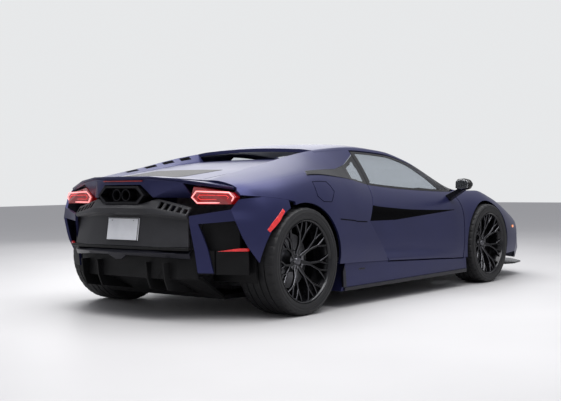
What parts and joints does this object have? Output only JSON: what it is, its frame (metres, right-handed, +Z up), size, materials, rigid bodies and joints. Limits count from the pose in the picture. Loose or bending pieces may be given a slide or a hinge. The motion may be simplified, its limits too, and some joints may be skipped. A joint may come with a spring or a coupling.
{
  "type": "supercar",
  "caption": "Low mid-engined two-seat coupe with hinged doors and lids, steered front wheels and wide black wheels, plate blank.",
  "frame": {"origin": "on the ground under the middle of the car", "axes": "+Z up, -Y towards the nose, +X towards the left side of the car"},
  "size_m": [2.246, 4.706, 1.1979],
  "materials": {
    "black_plastic": "matte black",
    "cabin_trim": "matte black",
    "window_glass": "tinted",
    "paint": "satin dark blue",
    "cast_metal": "satin",
    "gloss_trim": "gloss black",
    "suspension_steel": "satin black",
    "headlamp": "clear",
    "plate": "blank and pale",
    "grey_plastic": "satin dark grey",
    "tail_lamp": "gloss red",
    "tyre": "matte black",
    "wheel_alloy": "gloss black"
  },
  "bodies": {
    "body": {"boot_tub": "black_plastic", "dashboard": "cabin_trim", "diffuser": "black_plastic", "engine_block": "cast_metal", "exhaust_finisher": "cast_metal", "front_bumper": "paint", "front_grille": "black_plastic", "front_splitter": "gloss_trim", "front_suspension": "suspension_steel", "front_wing_left": "paint", "front_wing_right": "paint", "headlamp_left": "headlamp", "headlamp_right": "headlamp", "number_plate": "plate", "pillar_trim_left": "gloss_trim", "pillar_trim_right": "gloss_trim", "quarter_glass_left": "window_glass", "quarter_glass_right": "window_glass", "rear_blade": "gloss_trim", "rear_bridge": "gloss_trim", "rear_corner_left": "paint", "rear_corner_right": "paint", "rear_fascia": "grey_plastic", "rear_lower_panel": "paint", "rear_quarter_left": "paint", "rear_quarter_right": "paint", "rear_suspension": "suspension_steel", "roof": "paint", "seat_left": "cabin_trim", "seat_right": "cabin_trim", "side_skirt_left": "paint", "side_skirt_right": "paint", "tail_lamp_left": "tail_lamp", "tail_lamp_right": "tail_lamp", "tail_panel": "paint", "tub": "black_plastic", "window_trim_left": "gloss_trim", "window_trim_right": "gloss_trim", "windscreen": "window_glass"},
    "door_left": {"door_glass_left": "window_glass", "door_left": "paint", "mirror_left": "gloss_trim"},
    "steer_left": {"knuckle_front_left": "suspension_steel"},
    "wheel_front_left": {"tyre_front_left": "tyre", "wheel_front_left": "wheel_alloy"},
    "wheel_rear_left": {"tyre_rear_left": "tyre", "wheel_rear_left": "wheel_alloy"},
    "door_right": {"door_glass_right": "window_glass", "door_right": "paint", "mirror_right": "gloss_trim"},
    "steer_right": {"knuckle_front_right": "suspension_steel"},
    "wheel_front_right": {"tyre_front_right": "tyre", "wheel_front_right": "wheel_alloy"},
    "wheel_rear_right": {"tyre_rear_right": "tyre", "wheel_rear_right": "wheel_alloy"},
    "front_lid": {"front_lid": "paint"},
    "engine_lid": {"engine_lid": "paint"},
    "steering_wheel": {"steering_wheel": "cabin_trim"}
  },
  "joints": [
    {"name": "door_left_hinge", "type": "hinge", "parent": "body", "child": "door_left", "pos_m": [0.953, -0.692, 0.59], "axis": [0.139, 0, -0.9903], "range_deg": [0, 62]},
    {"name": "door_right_hinge", "type": "hinge", "parent": "body", "child": "door_right", "pos_m": [-0.953, -0.692, 0.59], "axis": [0.139, 0, 0.9903], "range_deg": [0, 62]},
    {"name": "front_lid_hinge", "type": "hinge", "parent": "body", "child": "front_lid", "pos_m": [0, -0.852, 0.815], "axis": [-1, 0, 0], "range_deg": [0, 60]},
    {"name": "engine_lid_hinge", "type": "hinge", "parent": "body", "child": "engine_lid", "pos_m": [0, 0.958, 1.078], "axis": [1, 0, 0], "range_deg": [0, 48]},
    {"name": "steer_left", "type": "hinge", "parent": "body", "child": "steer_left", "pos_m": [0.778, -1.108, 0.343], "axis": [0, 0, 1], "range_deg": [-30, 30]},
    {"name": "steer_right", "type": "hinge", "parent": "body", "child": "steer_right", "pos_m": [-0.778, -1.108, 0.343], "axis": [0, 0, 1], "range_deg": [-30, 30]},
    {"name": "steering_wheel_turn", "type": "hinge", "parent": "body", "child": "steering_wheel", "pos_m": [0.37, -0.252, 0.7], "axis": [0, 0.9136, 0.4067], "range_deg": [-360, 360]},
    {"name": "wheel_front_left_spin", "type": "hinge", "parent": "steer_left", "child": "wheel_front_left", "pos_m": [0.861, -1.108, 0.343], "axis": [1, 0, 0], "continuous": true},
    {"name": "wheel_rear_left_spin", "type": "hinge", "parent": "body", "child": "wheel_rear_left", "pos_m": [0.835, 1.55, 0.364], "axis": [1, 0, 0], "continuous": true},
    {"name": "wheel_front_right_spin", "type": "hinge", "parent": "steer_right", "child": "wheel_front_right", "pos_m": [-0.861, -1.108, 0.343], "axis": [1, 0, 0], "continuous": true},
    {"name": "wheel_rear_right_spin", "type": "hinge", "parent": "body", "child": "wheel_rear_right", "pos_m": [-0.835, 1.55, 0.364], "axis": [1, 0, 0], "continuous": true}
  ],
  "couplings": [
    {"joint": "steer_right", "follows": "steer_left", "ratio": 1},
    {"joint": "steering_wheel_turn", "follows": "steer_left", "ratio": 12}
  ]
}
